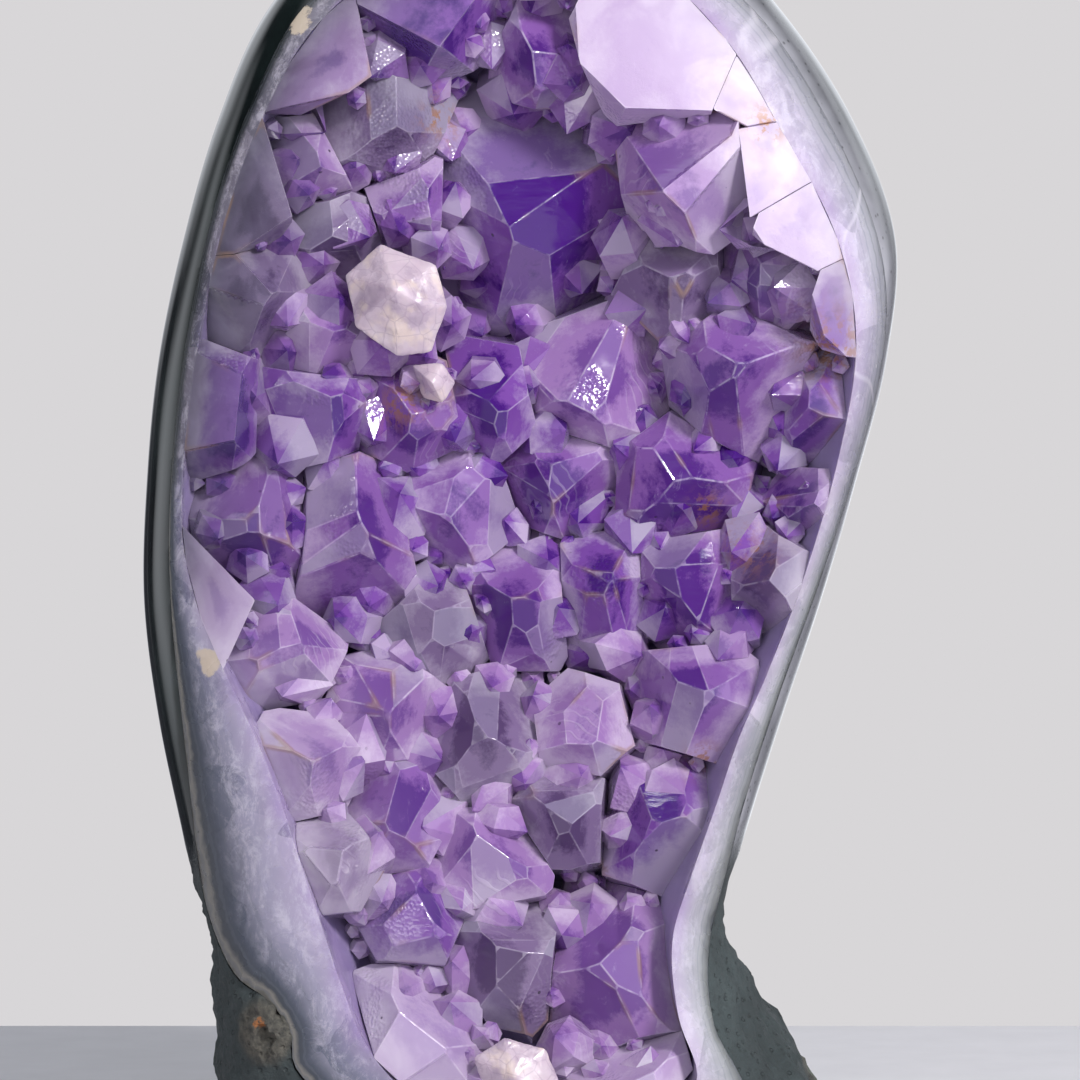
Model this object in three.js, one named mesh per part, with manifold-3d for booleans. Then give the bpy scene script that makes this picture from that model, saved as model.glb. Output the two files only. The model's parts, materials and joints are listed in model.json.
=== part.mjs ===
// Amethyst geode with a cut base: a basalt shell, its agate lining and the crystals in its hollow.
// Millimetres, +Z up. The origin is on the ground under the middle of the stone. The hollow faces -Y.

import * as THREE from 'three';
import { ConvexGeometry } from 'three/addons/geometries/ConvexGeometry.js';
import { mergeVertices } from 'three/addons/utils/BufferGeometryUtils.js';
import Module from 'manifold-3d';

const wasm = await Module();
wasm.setup();

// ---- Driving dimensions -------------------------------------------------------------------------

const HEIGHT = 252;             // foot to crown
const MIDDLE_Y = -6.8;          // the widest line of every level section
const FACE_DEPTH = 40;          // from that line to the middle of the polished face
const BACK_DEPTH = 50;          // from that line to the middle of the rough back
const FACE_FLATNESS = 3.2;      // superellipse power of the front half of a section
const BACK_FLATNESS = 2.25;     // and of the back half
const RING_POINTS = 40;         // points round one level section
const LEVELS_PER_STATION = 2;   // level sections from one station to the next
const BACK_LUMPS = 1.5;         // how far the rough back swells and dips

const SEAM = 0.3;               // gap that grown-together pieces keep
const OUTLINE_POINTS = 52;      // points round the edge of a pocket
const HOLLOW_CENTRE = new THREE.Vector2(0, 122);
const APOTHEM_TO_POINT = 1.27;  // height of a quartz point over the apothem of its six-sided foot
const CRYSTAL_LENGTH = 64;      // from tip to root before the pocket cuts it
const LEAN_INWARD = 0.42;       // how far crystals at the edge of the hollow lean to its middle
const HOLLOW_RADIUS = 75;       // distance from the middle at which that lean is reached

// Stations up the stone: the left and right edge seen from the front, and how much of the full
// depth the section has there.
const STATIONS = [
  { z: 0, left: -61, right: 66, deep: 0.93 },
  { z: 14, left: -61, right: 59, deep: 0.95 },
  { z: 30, left: -62, right: 48.5, deep: 0.96 },
  { z: 46, left: -64, right: 40.5, deep: 0.97 },
  { z: 62, left: -67, right: 44.5, deep: 0.99 },
  { z: 86, left: -72, right: 52, deep: 1 },
  { z: 110, left: -75, right: 60, deep: 1 },
  { z: 134, left: -74.4, right: 67, deep: 1 },
  { z: 158, left: -72, right: 73, deep: 0.99 },
  { z: 182, left: -67, right: 74.7, deep: 0.95 },
  { z: 206, left: -60, right: 66, deep: 0.86 },
  { z: 228, left: -50, right: 51.5, deep: 0.7 },
  { z: 242, left: -36, right: 37, deep: 0.5 },
  { z: HEIGHT, left: -12, right: 12, deep: 0.18 },
];

// Where the rock meets the agate, seen from the front, clockwise from the crown.
const ROCK_BORDER = [
  [2, 243], [27, 239], [46, 226], [61, 203], [70.5, 180], [71.8, 160], [66.6, 137], [59, 114],
  [51, 92], [44.5, 72], [40, 54], [37, 41], [38, 28], [44, 15], [38, 8], [8, 6], [-24, 7],
  [-36, 13], [-43.5, 20], [-44.5, 27], [-49, 33], [-56, 38], [-61.5, 50], [-63.7, 64], [-65, 78],
  [-66.5, 92], [-68, 108], [-68.5, 126], [-67, 148], [-64, 168], [-59, 190], [-51.5, 210],
  [-42, 227], [-25, 239],
];

// Where the agate meets the crystals, in the same way.
const CRYSTAL_BORDER = [
  [2, 239], [25, 234], [40, 219.5], [50.5, 201], [61, 181], [65.5, 161], [62.6, 139], [56, 116],
  [48.5, 97], [42.5, 84], [38, 71], [33, 57], [29.5, 45], [30.5, 32], [34, 21], [29, 15], [9, 13],
  [-11, 14], [-22, 19], [-29.5, 28], [-33.5, 38], [-37.5, 50], [-41.5, 62], [-45.5, 74],
  [-50.5, 86], [-56.5, 98], [-62, 110], [-65.5, 126], [-64, 148], [-61, 168], [-56, 189],
  [-48.5, 208], [-39.5, 223], [-24, 235],
];

// How far each pocket has narrowed to its centre at each depth. The last depth is its floor.
const ROCK_POCKET = [[-60, 1], [-14, 1], [1, 0.93], [12, 0.8], [20, 0.6], [24, 0.35]];
const CRYSTAL_POCKET = [
  [-60, 1.05], [-45, 1.03], [-31, 1], [-19, 0.93], [-6, 0.8], [4, 0.62], [11, 0.38],
];

const STONE = {
  basalt: { color: 0x3c4643, roughness: 0.55, metalness: 0 },
  agate: { color: 0x9a9db0, roughness: 0.25, metalness: 0 },
  calcite: { color: 0xdccbd8, roughness: 0.4, metalness: 0 },
  deep: { color: 0x54287f, roughness: 0.15, metalness: 0 },
  violet: { color: 0x7f4fae, roughness: 0.15, metalness: 0 },
  lilac: { color: 0xa98cc6, roughness: 0.18, metalness: 0 },
  pale: { color: 0xcdbcdd, roughness: 0.2, metalness: 0 },
  smoky: { color: 0x82748f, roughness: 0.2, metalness: 0 },
};

// Amethyst crystals: where the tip shows, how wide and tall the crystal is, how far its tip lies
// behind the polished face (less than nothing where the face cuts it off), its turn in degrees.
const CRYSTALS = [
  // upper left
  { x: -37, z: 214, wide: 21, tall: 25, tip: -22, turn: 8, tone: 'lilac' },
  { x: -17, z: 221, wide: 26, tall: 24, tip: -9, turn: 20, tone: 'deep' },
  { x: -26, z: 199, wide: 24, tall: 20, tip: 1, turn: 0, tone: 'smoky' },
  { x: -39, z: 193, wide: 13, tall: 16, tip: 2, turn: 15, tone: 'lilac' },
  { x: -35, z: 181, wide: 15, tall: 14, tip: 6, turn: 30, tone: 'smoky' },
  { x: -20, z: 186, wide: 13, tall: 14, tip: 8, turn: 10, tone: 'violet' },
  { x: 0, z: 184, wide: 36, tall: 44, tip: 4, turn: 6, tone: 'deep' },
  { x: -51, z: 186, wide: 18, tall: 22, tip: -18, turn: 25, tone: 'smoky' },
  { x: -49, z: 168, wide: 22, tall: 17, tip: -4, turn: 12, tone: 'smoky' },
  { x: -36, z: 160, wide: 16, tall: 14, tip: 5, turn: 0, tone: 'lilac' },
  // upper right
  { x: 26, z: 214, wide: 40, tall: 30, tip: -26, turn: 4, tone: 'pale' },
  { x: 5, z: 213, wide: 15, tall: 22, tip: 2, turn: 18, tone: 'violet' },
  { x: 5, z: 231, wide: 20, tall: 14, tip: -16, turn: 0, tone: 'lilac' },
  { x: 32, z: 188, wide: 27, tall: 23, tip: -7, turn: 28, tone: 'lilac' },
  { x: 41, z: 206, wide: 16, tall: 20, tip: -32, turn: 14, tone: 'pale' },
  { x: 51, z: 181, wide: 16, tall: 22, tip: -14, turn: 5, tone: 'pale' },
  { x: 45, z: 189, wide: 15, tall: 16, tip: -18, turn: 22, tone: 'pale' },
  { x: 48, z: 172, wide: 23, tall: 21, tip: 4, turn: 10, tone: 'violet' },
  { x: 29, z: 170, wide: 17, tall: 17, tip: 8, turn: 25, tone: 'smoky' },
  { x: 60, z: 167, wide: 15, tall: 18, tip: -10, turn: 0, tone: 'deep' },
  // middle right
  { x: 40, z: 154, wide: 29, tall: 24, tip: 3, turn: 2, tone: 'violet' },
  { x: 57, z: 146, wide: 22, tall: 22, tip: 1, turn: 18, tone: 'deep' },
  { x: 13, z: 152, wide: 24, tall: 23, tip: 12, turn: 12, tone: 'lilac' },
  { x: 8, z: 134, wide: 19, tall: 16, tip: 18, turn: 27, tone: 'violet' },
  { x: 28, z: 133, wide: 21, tall: 18, tip: 12, turn: 5, tone: 'violet' },
  { x: 57, z: 128, wide: 18, tall: 17, tip: -2, turn: 20, tone: 'violet' },
  { x: 48, z: 113, wide: 20, tall: 19, tip: -2, turn: 8, tone: 'smoky' },
  { x: 31, z: 113, wide: 18, tall: 18, tip: 9, turn: 24, tone: 'violet' },
  { x: 15, z: 112, wide: 16, tall: 16, tip: 14, turn: 10, tone: 'deep' },
  { x: 0, z: 111, wide: 18, tall: 19, tip: 14, turn: 0, tone: 'violet' },
  // middle left
  { x: -37, z: 146, wide: 18, tall: 17, tip: 3, turn: 20, tone: 'deep' },
  { x: -56, z: 146, wide: 14, tall: 22, tip: -8, turn: 5, tone: 'deep' },
  { x: -20, z: 145, wide: 18, tall: 17, tip: 9, turn: 15, tone: 'violet' },
  { x: -5, z: 148, wide: 14, tall: 18, tip: 13, turn: 28, tone: 'deep' },
  { x: -48, z: 124, wide: 18, tall: 25, tip: 2, turn: 12, tone: 'violet' },
  { x: -30, z: 122, wide: 20, tall: 31, tip: 5, turn: 3, tone: 'violet' },
  { x: -12, z: 127, wide: 20, tall: 21, tip: 12, turn: 7, tone: 'violet' },
  { x: -58, z: 111, wide: 16, tall: 24, tip: -24, turn: 16, tone: 'pale' },
  { x: -43, z: 102, wide: 16, tall: 16, tip: 1, turn: 24, tone: 'lilac' },
  { x: -15, z: 106, wide: 14, tall: 16, tip: 12, turn: 20, tone: 'smoky' },
  // lower left
  { x: -24, z: 91, wide: 17, tall: 16, tip: 8, turn: 5, tone: 'lilac' },
  { x: -6, z: 84, wide: 17, tall: 20, tip: 9, turn: 18, tone: 'smoky' },
  { x: -38, z: 80, wide: 14, tall: 18, tip: -2, turn: 10, tone: 'lilac' },
  { x: -21, z: 70, wide: 16, tall: 16, tip: 5, turn: 0, tone: 'violet' },
  { x: -34, z: 62, wide: 13, tall: 17, tip: -4, turn: 26, tone: 'smoky' },
  { x: -19, z: 51, wide: 15, tall: 14, tip: 3, turn: 14, tone: 'deep' },
  { x: -6, z: 62, wide: 18, tall: 16, tip: 6, turn: 22, tone: 'lilac' },
  { x: -2, z: 44, wide: 18, tall: 18, tip: 2, turn: 8, tone: 'smoky' },
  { x: -20, z: 30, wide: 22, tall: 24, tip: -8, turn: 2, tone: 'pale' },
  // lower right
  { x: 26, z: 70, wide: 23, tall: 22, tip: 3, turn: 0, tone: 'deep' },
  { x: 11, z: 86, wide: 15, tall: 15, tip: 9, turn: 12, tone: 'lilac' },
  { x: 8, z: 71, wide: 15, tall: 15, tip: 8, turn: 30, tone: 'smoky' },
  { x: 32, z: 92, wide: 22, tall: 17, tip: 1, turn: 25, tone: 'violet' },
  { x: 16, z: 42, wide: 22, tall: 28, tip: 0, turn: 4, tone: 'lilac' },
  { x: 21, z: 19, wide: 24, tall: 20, tip: -6, turn: 15, tone: 'pale' },
];

// Calcite pieces: the depth of each one's seat on the crystals, and its corners as x, z and the
// distance in front of the seat.
const CALCITE = {
  calcite_crystal: {
    seat: -35,
    corners: [
      [-27, 180, 2], [-16, 176, 3], [-14, 168, 4], [-17, 159, 1], [-24, 158, 2], [-32, 164, 3],
      [-34, 174, 1], [-24, 171, 9], [-19, 168, 7], [-26, 176, -7], [-17, 164, -7], [-31, 168, -7],
    ],
  },
  calcite_spur: {
    seat: -31,
    corners: [
      [-21, 156.5, 2], [-15, 157, 3], [-12.5, 153, 2], [-15, 149, 3], [-19, 150, 1],
      [-17, 153, 6], [-19, 156, -6], [-14, 154, -6], [-17, 151, -6],
    ],
  },
  calcite_lump: {
    seat: -40,
    corners: [
      [-9, 22, 1], [-3, 26, 2], [5, 24, 2], [8, 17, 1], [4, 11, 2], [-6, 12, 1],
      [-1, 19, 5.5], [3, 15, 5], [-5, 17, -8], [3, 21, -8], [1, 13, -8],
    ],
  },
};

// ---- Helpers ------------------------------------------------------------------------------------

// Turns a three.js geometry into a closed manifold-3d solid.
function toSolid(geometry) {
  const bare = new THREE.BufferGeometry();
  bare.setAttribute('position', geometry.getAttribute('position'));
  bare.setIndex(geometry.getIndex());
  const welded = mergeVertices(bare, 1e-4);
  const index = welded.getIndex().array;
  const kept = [];
  for (let i = 0; i < index.length; i += 3) {
    const [a, b, c] = [index[i], index[i + 1], index[i + 2]];
    if (a !== b && b !== c && c !== a) kept.push(a, b, c);
  }
  return new wasm.Manifold(new wasm.Mesh({
    numProp: 3,
    vertProperties: Float32Array.from(welded.getAttribute('position').array),
    triVerts: Uint32Array.from(kept),
  }));
}

// Turns a manifold-3d solid into a named mesh of one stone.
function toMesh(name, solid, stone) {
  const { vertProperties, triVerts } = solid.getMesh();
  const geometry = new THREE.BufferGeometry();
  geometry.setAttribute('position', new THREE.BufferAttribute(Float32Array.from(vertProperties), 3));
  geometry.setIndex(new THREE.BufferAttribute(Uint32Array.from(triVerts), 1));
  geometry.computeVertexNormals();
  const mesh = new THREE.Mesh(geometry, new THREE.MeshStandardMaterial(stone));
  mesh.name = name;
  return mesh;
}

// The largest of the bodies that a cut has left.
function largestBody(solid) {
  return solid.decompose().reduce((best, body) => (body.volume() > best.volume() ? body : best));
}

// A closed surface through rings of equal length, capped at both ends.
// The rings run anticlockwise seen from the side that they advance to.
function loft(rings) {
  const count = rings[0].length;
  const positions = rings.flat().flatMap((point) => point.toArray());
  const index = [];
  for (let ring = 0; ring + 1 < rings.length; ring += 1) {
    for (let i = 0; i < count; i += 1) {
      const next = (i + 1) % count;
      const a = ring * count + i;
      const b = ring * count + next;
      index.push(a, b, b + count, a, b + count, a + count);
    }
  }
  const cap = (ring, flip) => {
    const points = rings[ring];
    const centre = points.reduce((sum, p) => sum.add(p), new THREE.Vector3()).divideScalar(count);
    const middle = positions.length / 3;
    positions.push(...centre.toArray());
    for (let i = 0; i < count; i += 1) {
      const a = ring * count + i;
      const b = ring * count + ((i + 1) % count);
      index.push(...(flip ? [middle, b, a] : [middle, a, b]));
    }
  };
  cap(0, true);
  cap(rings.length - 1, false);
  const geometry = new THREE.BufferGeometry();
  geometry.setAttribute('position', new THREE.Float32BufferAttribute(positions, 3));
  geometry.setIndex(index);
  return geometry;
}

// ---- The stone's outer surface ------------------------------------------------------------------

// The slope of one station value at station i, for a smooth curve through all stations.
function stationSlope(i, key) {
  const before = STATIONS[Math.max(i - 1, 0)];
  const after = STATIONS[Math.min(i + 1, STATIONS.length - 1)];
  return (after[key] - before[key]) / (after.z - before.z);
}

// One station value at any height.
function stationValue(z, key) {
  const above = STATIONS.findIndex((station) => station.z >= z);
  const i = Math.max(above - 1, 0);
  const [low, high] = [STATIONS[i], STATIONS[i + 1]];
  const span = high.z - low.z;
  const t = (z - low.z) / span;
  const ease = t * t * (3 - 2 * t);
  const rise = t * (1 - t) * (1 - t) * span * stationSlope(i, key);
  const fall = t * t * (1 - t) * span * stationSlope(i + 1, key);
  return low[key] + (high[key] - low[key]) * ease + rise - fall;
}

function sectionAt(z) {
  const left = stationValue(z, 'left');
  const right = stationValue(z, 'right');
  return { centre: (left + right) / 2, half: (right - left) / 2, deep: stationValue(z, 'deep') };
}

// How far the polished face lies forward at a place seen from the front.
function faceY(x, z) {
  const { centre, half, deep } = sectionAt(z);
  const across = Math.min(Math.abs(x - centre) / half, 1);
  return MIDDLE_Y - FACE_DEPTH * deep * (1 - across ** FACE_FLATNESS) ** (1 / FACE_FLATNESS);
}

// A point of the level section at height z, with the rough swells of the back.
function sectionPoint(z, angle) {
  const { centre, half, deep } = sectionAt(z);
  const [c, s] = [Math.cos(angle), Math.sin(angle)];
  const power = 2 / (s < 0 ? FACE_FLATNESS : BACK_FLATNESS);
  const depth = (s < 0 ? FACE_DEPTH : BACK_DEPTH) * deep;
  const behind = Math.max(s, 0);
  const wave = Math.sin(z / 9 + angle * 3) + 0.7 * Math.sin(z / 5.3 - angle * 5);
  const swell = 1 + (BACK_LUMPS / BACK_DEPTH) * behind * wave;
  return new THREE.Vector3(
    centre + half * swell * Math.sign(c) * Math.abs(c) ** power,
    MIDDLE_Y + depth * swell * Math.sign(s) * Math.abs(s) ** power,
    z,
  );
}

function stoneSolid() {
  const rings = [];
  for (let i = 0; i + 1 < STATIONS.length; i += 1) {
    for (let step = 0; step < LEVELS_PER_STATION; step += 1) {
      const t = step / LEVELS_PER_STATION;
      rings.push(THREE.MathUtils.lerp(STATIONS[i].z, STATIONS[i + 1].z, t));
    }
  }
  rings.push(HEIGHT);
  const turn = (2 * Math.PI) / RING_POINTS;
  return toSolid(loft(rings.map((z) => (
    Array.from({ length: RING_POINTS }, (_, i) => sectionPoint(z, i * turn))
  ))));
}

// ---- Pockets ------------------------------------------------------------------------------------

// The room inside a border, as deep as the pocket's steps say, made smaller all round by a margin.
function pocketSolid(border, steps, margin) {
  const corners = border.map(([x, z]) => new THREE.Vector3(x, 0, z));
  const curve = new THREE.CatmullRomCurve3(corners, true, 'centripetal');
  const edge = curve.getSpacedPoints(OUTLINE_POINTS).slice(0, OUTLINE_POINTS);
  const rings = steps.map(([depth, scale], level) => edge.map((point, i) => {
    const before = edge[(i + OUTLINE_POINTS - 1) % OUTLINE_POINTS];
    const after = edge[(i + 1) % OUTLINE_POINTS];
    const along = after.clone().sub(before).normalize();
    const x = HOLLOW_CENTRE.x + (point.x - HOLLOW_CENTRE.x) * scale - along.z * -margin;
    const z = HOLLOW_CENTRE.y + (point.z - HOLLOW_CENTRE.y) * scale - along.x * margin;
    const isFloor = level === steps.length - 1;
    return new THREE.Vector3(x, isFloor ? depth - margin : depth, z);
  }));
  return toSolid(loft(rings));
}

// ---- Crystals -----------------------------------------------------------------------------------

// The way a crystal grew: out of the wall behind it, leaning to the middle of the hollow.
function growthOf({ x, z }) {
  const lean = LEAN_INWARD / HOLLOW_RADIUS;
  return new THREE.Vector3(
    (HOLLOW_CENTRE.x - x) * lean,
    -1,
    (HOLLOW_CENTRE.y - z) * lean * 0.6,
  ).normalize();
}

// A six-sided quartz point, its tip at the origin, grown along +Y.
function quartzPoint(wide, tall, turn) {
  const apothem = (Math.min(wide, tall) / 2) * Math.cos(Math.PI / 6);
  const shoulder = -apothem * APOTHEM_TO_POINT;
  const corners = [new THREE.Vector3(0, 0, 0)];
  for (let side = 0; side < 6; side += 1) {
    const angle = (side * Math.PI) / 3 + THREE.MathUtils.degToRad(turn);
    const [x, z] = [Math.cos(angle) * (wide / 2), Math.sin(angle) * (tall / 2)];
    corners.push(new THREE.Vector3(x, shoulder, z), new THREE.Vector3(x, -CRYSTAL_LENGTH, z));
  }
  return toSolid(new ConvexGeometry(corners));
}

// Cuts three faces of the point back, every second one, as quartz grows them larger than the rest.
function growLargeFaces(point, wide, tall, turn) {
  const slope = Math.atan(APOTHEM_TO_POINT);
  const size = Math.min(wide, tall);
  return [0, 1, 2].reduce((solid, face) => {
    const angle = (face * 2 * Math.PI) / 3 + Math.PI / 6 + THREE.MathUtils.degToRad(turn);
    const out = new THREE.Vector3(
      Math.cos(angle) * Math.sin(slope),
      Math.cos(slope),
      Math.sin(angle) * Math.sin(slope),
    );
    const cut = size * (0.03 + 0.035 * face);
    return solid.trimByPlane(out.negate().toArray(), cut);
  }, point);
}

function crystalSolid(crystal, spread) {
  const { x, z, wide, tall, tip, turn } = crystal;
  const point = growLargeFaces(
    quartzPoint(wide * spread, tall * spread, turn),
    wide * spread,
    tall * spread,
    turn,
  );
  const turned = new THREE.Quaternion().setFromUnitVectors(
    new THREE.Vector3(0, 1, 0),
    growthOf(crystal),
  );
  const place = new THREE.Matrix4().compose(
    new THREE.Vector3(x, faceY(x, z) + tip, z),
    turned,
    new THREE.Vector3(1, 1, 1),
  );
  return point.transform(place.toArray());
}

// The half-width of a crystal towards another one.
function reachTowards({ wide, tall }, direction) {
  return Math.hypot(direction.x * (wide / 2), direction.z * (tall / 2));
}

// Cuts a crystal where it grew against its neighbours, with half a seam on each side.
function grownAgainst(solid, crystal, neighbours) {
  const tipOf = (one) => new THREE.Vector3(one.x, faceY(one.x, one.z) + one.tip, one.z);
  return neighbours.reduce((cut, other) => {
    const across = tipOf(other).sub(tipOf(crystal));
    const growth = growthOf(crystal).add(growthOf(other)).normalize();
    const normal = across.clone().addScaledVector(growth, -across.dot(growth));
    const distance = normal.length();
    normal.normalize();
    const mine = reachTowards(crystal, normal);
    const theirs = reachTowards(other, normal);
    const share = (distance * mine) / (mine + theirs);
    const offset = tipOf(crystal).dot(normal) + share - SEAM / 2;
    return cut.trimByPlane(normal.clone().negate().toArray(), -offset);
  }, solid);
}

function calciteSolid({ seat, corners }, grow = 0) {
  const points = corners.map(([x, z, out]) => new THREE.Vector3(x, seat - out, z));
  const centre = points.reduce((sum, p) => sum.add(p), new THREE.Vector3())
    .divideScalar(points.length);
  points.forEach((point) => {
    const away = point.clone().sub(centre);
    point.addScaledVector(away.normalize(), grow);
  });
  return toSolid(new ConvexGeometry(points));
}

// ---- Assembly -----------------------------------------------------------------------------------

const CRYSTAL_SPREAD = 1.75;    // crystals are made this much too wide and cut by their neighbours
const NEIGHBOUR_RANGE = 62;     // tips further apart than this never touch

const stone = stoneSolid();
const calcite = Object.entries(CALCITE).map(([name, block]) => ({
  name,
  solid: calciteSolid(block),
  room: calciteSolid(block, SEAM * 1.6),
}));
const calciteRoom = wasm.Manifold.union(calcite.map(({ room }) => room));

const geode = new THREE.Group();

const rock = stone.subtract(pocketSolid(ROCK_BORDER, ROCK_POCKET, 0));
geode.add(toMesh('basalt_matrix', largestBody(rock.subtract(calciteRoom)), STONE.basalt));

const lining = stone
  .intersect(pocketSolid(ROCK_BORDER, ROCK_POCKET, SEAM))
  .subtract(pocketSolid(CRYSTAL_BORDER, CRYSTAL_POCKET, 0))
  .subtract(calciteRoom);
geode.add(toMesh('agate_lining', largestBody(lining), STONE.agate));

const hollow = stone.intersect(pocketSolid(CRYSTAL_BORDER, CRYSTAL_POCKET, SEAM));
CRYSTALS.forEach((crystal, i) => {
  const near = CRYSTALS.filter((other) => (
    other !== crystal && Math.hypot(other.x - crystal.x, other.z - crystal.z) < NEIGHBOUR_RANGE
  ));
  const grown = grownAgainst(crystalSolid(crystal, CRYSTAL_SPREAD), crystal, near);
  const name = `amethyst_crystal_${String(i + 1).padStart(2, '0')}`;
  const solid = largestBody(grown.intersect(hollow).subtract(calciteRoom));
  geode.add(toMesh(name, solid, STONE[crystal.tone]));
});

calcite.forEach(({ name, solid }) => geode.add(toMesh(name, solid, STONE.calcite)));

export default geode;
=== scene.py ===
"""The looks of the amethyst geode: rock, agate, amethyst and calcite, on a pale floor in soft light."""

import json
import math

import bmesh
import bpy
import numpy as np
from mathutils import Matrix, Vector, noise
from mathutils.bvhtree import BVHTree


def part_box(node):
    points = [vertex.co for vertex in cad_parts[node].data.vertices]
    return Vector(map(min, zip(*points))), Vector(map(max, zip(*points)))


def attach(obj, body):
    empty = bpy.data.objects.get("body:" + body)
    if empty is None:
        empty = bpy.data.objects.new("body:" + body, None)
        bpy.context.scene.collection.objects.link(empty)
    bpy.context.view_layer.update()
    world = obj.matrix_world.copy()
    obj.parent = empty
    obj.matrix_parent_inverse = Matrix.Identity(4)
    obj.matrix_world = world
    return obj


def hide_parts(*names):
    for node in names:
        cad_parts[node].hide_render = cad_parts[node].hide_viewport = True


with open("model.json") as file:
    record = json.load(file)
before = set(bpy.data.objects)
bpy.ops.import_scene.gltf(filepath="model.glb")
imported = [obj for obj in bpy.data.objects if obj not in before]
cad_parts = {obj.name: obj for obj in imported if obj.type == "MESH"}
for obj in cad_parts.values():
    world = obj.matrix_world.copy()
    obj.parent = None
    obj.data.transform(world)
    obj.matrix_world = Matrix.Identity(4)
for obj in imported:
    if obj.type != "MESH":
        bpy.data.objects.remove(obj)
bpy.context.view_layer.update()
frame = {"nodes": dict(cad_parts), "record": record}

MM = 0.001

# ---- The stone's outer surface, as in the CAD part, in millimetres ------------------------------

MIDDLE_Y = -6.8  # the widest line of every level section
FACE_DEPTH = 40.0
BACK_DEPTH = 50.0
FACE_FLATNESS = 3.2
BACK_FLATNESS = 2.25
HEIGHT = 252.0
HOLLOW_CENTRE = np.array([0.0, 122.0])
HOLLOW_RADIUS = 75.0
LEAN_INWARD = 0.42

# Height, left edge, right edge, and how much of the full depth the section has there.
STATIONS = np.array(
    [
        [0, -61, 66, 0.93],
        [14, -61, 59, 0.95],
        [30, -62, 48.5, 0.96],
        [46, -64, 40.5, 0.97],
        [62, -67, 44.5, 0.99],
        [86, -72, 52, 1],
        [110, -75, 60, 1],
        [134, -74.4, 67, 1],
        [158, -72, 73, 0.99],
        [182, -67, 74.7, 0.95],
        [206, -60, 66, 0.86],
        [228, -50, 51.5, 0.7],
        [242, -36, 37, 0.5],
        [HEIGHT, -12, 12, 0.18],
    ]
)

ROCK_BORDER = [
    (2, 243), (27, 239), (46, 226), (61, 203), (70.5, 180), (71.8, 160), (66.6, 137), (59, 114),
    (51, 92), (44.5, 72), (40, 54), (37, 41), (38, 28), (44, 15), (38, 8), (8, 6), (-24, 7),
    (-36, 13), (-43.5, 20), (-44.5, 27), (-49, 33), (-56, 38), (-61.5, 50), (-63.7, 64), (-65, 78),
    (-66.5, 92), (-68, 108), (-68.5, 126), (-67, 148), (-64, 168), (-59, 190), (-51.5, 210),
    (-42, 227), (-25, 239),
]  # fmt: skip

CRYSTAL_BORDER = [
    (2, 239), (25, 234), (40, 219.5), (50.5, 201), (61, 181), (65.5, 161), (62.6, 139), (56, 116),
    (48.5, 97), (42.5, 84), (38, 71), (33, 57), (29.5, 45), (30.5, 32), (34, 21), (29, 15), (9, 13),
    (-11, 14), (-22, 19), (-29.5, 28), (-33.5, 38), (-37.5, 50), (-41.5, 62), (-45.5, 74),
    (-50.5, 86), (-56.5, 98), (-62, 110), (-65.5, 126), (-64, 148), (-61, 168), (-56, 189),
    (-48.5, 208), (-39.5, 223), (-24, 235),
]  # fmt: skip

ROCK_POCKET = [(-60, 1), (-14, 1), (1, 0.93), (12, 0.8), (20, 0.6), (24, 0.35)]
CRYSTAL_POCKET = [(-60, 1.05), (-45, 1.03), (-31, 1), (-19, 0.93), (-6, 0.8), (4, 0.62), (11, 0.38)]


def station_value(z, column):
    """One station value at any height, on a smooth curve through all stations."""
    heights, values = STATIONS[:, 0], STATIONS[:, column]
    last = len(heights) - 1
    slope = np.array(
        [
            (values[min(i + 1, last)] - values[max(i - 1, 0)])
            / (heights[min(i + 1, last)] - heights[max(i - 1, 0)])
            for i in range(last + 1)
        ]
    )
    z = np.clip(z, 0, HEIGHT)
    i = np.clip(np.searchsorted(heights, z) - 1, 0, last - 1)
    span = heights[i + 1] - heights[i]
    t = (z - heights[i]) / span
    ease = t * t * (3 - 2 * t)
    bend = t * (1 - t) * span * ((1 - t) * slope[i] - t * slope[i + 1])
    return values[i] + (values[i + 1] - values[i]) * ease + bend


def section(z):
    """Centre, half-width and share of the full depth of the level section at z."""
    left, right = station_value(z, 1), station_value(z, 2)
    return (left + right) / 2, (right - left) / 2, station_value(z, 3)


def face_y(x, z):
    """How far the polished face lies forward at a place seen from the front."""
    centre, half, deep = section(z)
    across = np.clip(np.abs(x - centre) / half, 0, 1)
    return MIDDLE_Y - FACE_DEPTH * deep * (1 - across**FACE_FLATNESS) ** (1 / FACE_FLATNESS)


# ---- Mesh helpers -------------------------------------------------------------------------------


def smoothstep(low, high, value):
    t = np.clip((value - low) / (high - low), 0, 1)
    return t * t * (3 - 2 * t)


def evenly_spaced(points, count, closed=False):
    """The same line through count points with equal steps between them."""
    line = np.vstack([points, points[:1]]) if closed else points
    steps = np.linalg.norm(np.diff(line, axis=0), axis=1)
    along = np.concatenate([[0], np.cumsum(steps)])
    at = np.linspace(0, along[-1], count, endpoint=not closed)
    return np.stack([np.interp(at, along, line[:, k]) for k in range(line.shape[1])], axis=1)


def closed_curve(corners, count):
    """A smooth closed curve through the corners, as evenly spaced points."""
    p = np.array(corners, float)
    t = np.linspace(0, 1, 24, endpoint=False)[:, None]
    pieces = []
    for i in range(len(p)):
        a, b, c, d = p[i - 1], p[i], p[(i + 1) % len(p)], p[(i + 2) % len(p)]
        pieces.append(
            0.5 * (2 * b + (c - a) * t + (2 * a - 5 * b + 4 * c - d) * t**2
                   + (3 * b - a - 3 * c + d) * t**3)
        )
    return evenly_spaced(np.vstack(pieces), count, closed=True)


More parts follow.
